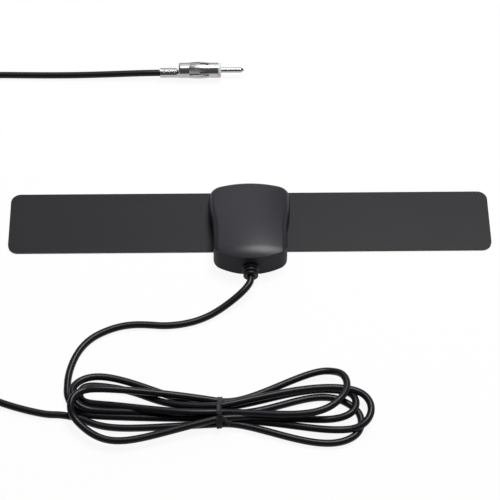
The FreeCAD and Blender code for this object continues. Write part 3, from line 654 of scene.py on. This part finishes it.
class ANTENNA_OT_strip(bpy.types.Operator):
    """Finish the adhesive strip: film, foil, adhesive and liner"""
    bl_idname = "antenna.strip"
    bl_label = "Strip"

    def execute(self, context):
        look = context.scene.antenna_strip
        dress(film_finish(look), "antenna_film")
        dress(paper_finish("foam_edge", look.foam, fibre=0.0006), "adhesive_sheet")
        dress(paper_finish("liner_paper", look.liner, fibre=0.0009), "release_liner")
        foil = plated_finish("arm_foil", look.foil, roughness=0.28, scratch=(1.0, 0.1, 1.0))
        dress(foil, "foil_arm_left", "foil_arm_right")
        return {"FINISHED"}


class ANTENNA_OT_housing(bpy.types.Operator):
    """Finish the housing: shell, base, screws and boot"""
    bl_idname = "antenna.housing"
    bl_label = "Housing"

    def execute(self, context):
        look = context.scene.antenna_housing
        grain = (look.grain, look.grain_depth)
        dress(shell_finish(look), "housing_cover")
        dress(moulded_finish("base_plastic", look.base, look.roughness, grain, BASE_SHEEN), "housing_base")
        dress(moulded_finish("boot_rubber", look.boot, roughness=0.42, grain=grain), "strain_relief")
        dress(plated_finish("screw_zinc", look.steel, roughness=0.30), "housing_screws")
        return {"FINISHED"}


class ANTENNA_OT_amplifier(bpy.types.Operator):
    """Finish the amplifier inside the housing: board, chips, coil and rivets"""
    bl_idname = "antenna.amplifier"
    bl_label = "Amplifier"

    def execute(self, context):
        look = context.scene.antenna_amplifier
        chip = moulded_finish("chip_epoxy", look.chip, roughness=0.5, grain=CHIP_GRAIN)
        dress(board_finish(look), "circuit_board")
        dress(chip, "amplifier_transistor", "chip_resistors")
        ceramic = moulded_finish("chip_ceramic", look.ceramic, roughness=0.38, grain=CHIP_GRAIN)
        dress(ceramic, "chip_capacitors")
        dress(moulded_finish("coil_ferrite", look.ferrite, roughness=0.55, grain=CHIP_GRAIN), "matching_coil")
        dress(plated_finish("rivet_brass", look.brass, roughness=0.24), "contact_rivets")
        return {"FINISHED"}


class ANTENNA_OT_lead(bpy.types.Operator):
    """Lay the lead from the boot through its tied hank to the plug"""
    bl_idname = "antenna.lead"
    bl_label = "Lead"

    def execute(self, context):
        look = context.scene.antenna_lead
        jacket = moulded_finish("lead_jacket", look.jacket, look.roughness, JACKET_GRAIN)
        curve = cord_curve("antenna_lead", lead_route(), look.diameter)
        lead = add_piece("antenna_lead", curve, jacket, "lead_jacket", "lead", "lead_hank", "plug_lead")
        plastic = moulded_finish("tie_plastic", look.tie, roughness=0.48, grain=TIE_GRAIN)
        tie = add_piece("lead_twist_tie", tie_mesh(look.tie_width), plastic, "tie", "twist_tie")
        dress(jacket, "lead_entry", "plug_jacket")
        return {"FINISHED"}


class ANTENNA_OT_plug(bpy.types.Operator):
    """Finish the aerial plug and the bared end of the lead in it"""
    bl_idname = "antenna.plug"
    bl_label = "Plug"

    def execute(self, context):
        look = context.scene.antenna_plug
        dress(plated_finish("plug_nickel", look.nickel, look.roughness), "plug_sleeve", "plug_pin")
        dress(nylon_finish(look), "plug_insulator")
        dress(braid_finish("screen_braid", look.copper, pitch=0.0006), "plug_braid", "braid_tail")
        dress(plated_finish("core_copper", look.copper, roughness=0.26), "plug_core", "lead_core")
        return {"FINISHED"}


def floor_finish(look):
    """White floor that still takes the part's shadow."""
    finish = Finish("studio_floor")
    path = {name: finish.node("ShaderNodeLightPath", output=name)
            for name in ("Is Camera Ray", "Is Glossy Ray", "Is Transmission Ray")}
    seen = sum(path.values(), 0.0) * look.glow
    paper = finish.node("ShaderNodeBsdfDiffuse", {}, {"Color": (*look.floor, 1.0)})
    white = finish.node("ShaderNodeEmission", {}, {"Color": (1.0, 1.0, 1.0, 1.0), "Strength": 1.0})
    mixed = finish.node("ShaderNodeMixShader", {}, {0: seen, 1: paper, 2: white})
    finish.node("ShaderNodeOutputMaterial", {}, {"Surface": mixed})
    return finish.material


def add_softbox(name, place, size, watts):
    """A soft square light that faces the part."""
    lamp = bpy.data.lights.new(name, "AREA")
    lamp.shape = "SQUARE"
    lamp.size = size
    lamp.energy = watts
    box = bpy.data.objects.new(name, lamp)
    box.location = place
    box.rotation_euler = (Vector(LIGHT_AIM) - Vector(place)).to_track_quat("-Z", "Y").to_euler()
    bpy.context.scene.collection.objects.link(box)


class ANTENNA_OT_stage(bpy.types.Operator):
    """Set up the floor, the studio light and the camera"""
    bl_idname = "antenna.stage"
    bl_label = "Stage"

    def execute(self, context):
        look = context.scene.antenna_stage
        context.scene.view_settings.view_transform = "Standard"
        self.add_floor(look)
        self.add_light(look)
        self.add_camera(look)
        return {"FINISHED"}

    def add_floor(self, look):
        data = bpy.data.meshes.new("studio_floor")
        corners = [(x * FLOOR_HALF, y * FLOOR_HALF, 0.0) for x, y in ((-1, -1), (1, -1), (1, 1), (-1, 1))]
        data.from_pydata(corners, [], [(0, 1, 2, 3)])
        data.materials.append(floor_finish(look))
        floor = bpy.data.objects.new("studio_floor", data)
        bpy.context.scene.collection.objects.link(floor)

    def add_light(self, look):
        world = bpy.data.worlds.new("studio_room")
        world.use_nodes = True
        room = world.node_tree.nodes["Background"]
        room.inputs["Color"].default_value = (1.0, 1.0, 1.0, 1.0)
        room.inputs["Strength"].default_value = look.world
        bpy.context.scene.world = world
        add_softbox("key_softbox", KEY_PLACE, KEY_SIZE, look.key)
        add_softbox("back_softbox", BACK_PLACE, BACK_SIZE, look.back)

    def add_camera(self, look):
        level = Vector((math.sin(look.azimuth) * math.cos(look.elevation),
                        -math.cos(look.azimuth) * math.cos(look.elevation), math.sin(look.elevation)))
        right = Vector((0.0, 0.0, 1.0)).cross(level).normalized()
        turn = Matrix.Rotation(look.roll, 3, level)
        axes = Matrix((turn @ right, turn @ level.cross(right), level)).transposed()
        lens = bpy.data.cameras.new("photo_camera")
        lens.lens = look.lens
        lens.sensor_width = SENSOR_WIDTH
        lens.sensor_fit = "HORIZONTAL"
        lens.clip_start = 0.01
        lens.clip_end = 20.0
        camera = bpy.data.objects.new("photo_camera", lens)
        camera.matrix_world = Matrix.Translation(Vector(look.target) + level * look.distance) @ axes.to_4x4()
        bpy.context.scene.collection.objects.link(camera)
        bpy.context.scene.camera = camera


LOOKS = {
    "antenna_strip": StripLook, "antenna_housing": HousingLook, "antenna_amplifier": AmplifierLook,
    "antenna_lead": LeadLook, "antenna_plug": PlugLook, "antenna_stage": StageLook,
}
OPERATORS = (ANTENNA_OT_strip, ANTENNA_OT_housing, ANTENNA_OT_amplifier, ANTENNA_OT_lead, ANTENNA_OT_plug,
             ANTENNA_OT_stage)


class ANTENNA_PT_sidebar(bpy.types.Panel):
    """Pieces of the antenna and their finishes"""
    bl_idname = "ANTENNA_PT_sidebar"
    bl_label = "Adhesive car antenna"
    bl_space_type = "VIEW_3D"
    bl_region_type = "UI"
    bl_category = "Antenna"

    def draw(self, context):
        for operator in OPERATORS:
            self.layout.operator(operator.bl_idname)
        for name, look in LOOKS.items():
            box = self.layout.box()
            for value in look.__annotations__:
                box.prop(getattr(context.scene, name), value)


def register():
    for look in LOOKS.values():
        bpy.utils.register_class(look)
    for name, look in LOOKS.items():
        setattr(bpy.types.Scene, name, bpy.props.PointerProperty(type=look))
    for operator in OPERATORS:
        bpy.utils.register_class(operator)
    bpy.utils.register_class(ANTENNA_PT_sidebar)


def unregister():
    bpy.utils.unregister_class(ANTENNA_PT_sidebar)
    for operator in reversed(OPERATORS):
        bpy.utils.unregister_class(operator)
    for name, look in LOOKS.items():
        delattr(bpy.types.Scene, name)
        bpy.utils.unregister_class(look)


def main():
    register()
    bpy.ops.antenna.strip()
    bpy.ops.antenna.housing()
    bpy.ops.antenna.amplifier()
    bpy.ops.antenna.lead()
    bpy.ops.antenna.plug()
    bpy.ops.antenna.stage()


if __name__ == "__main__":
    main()
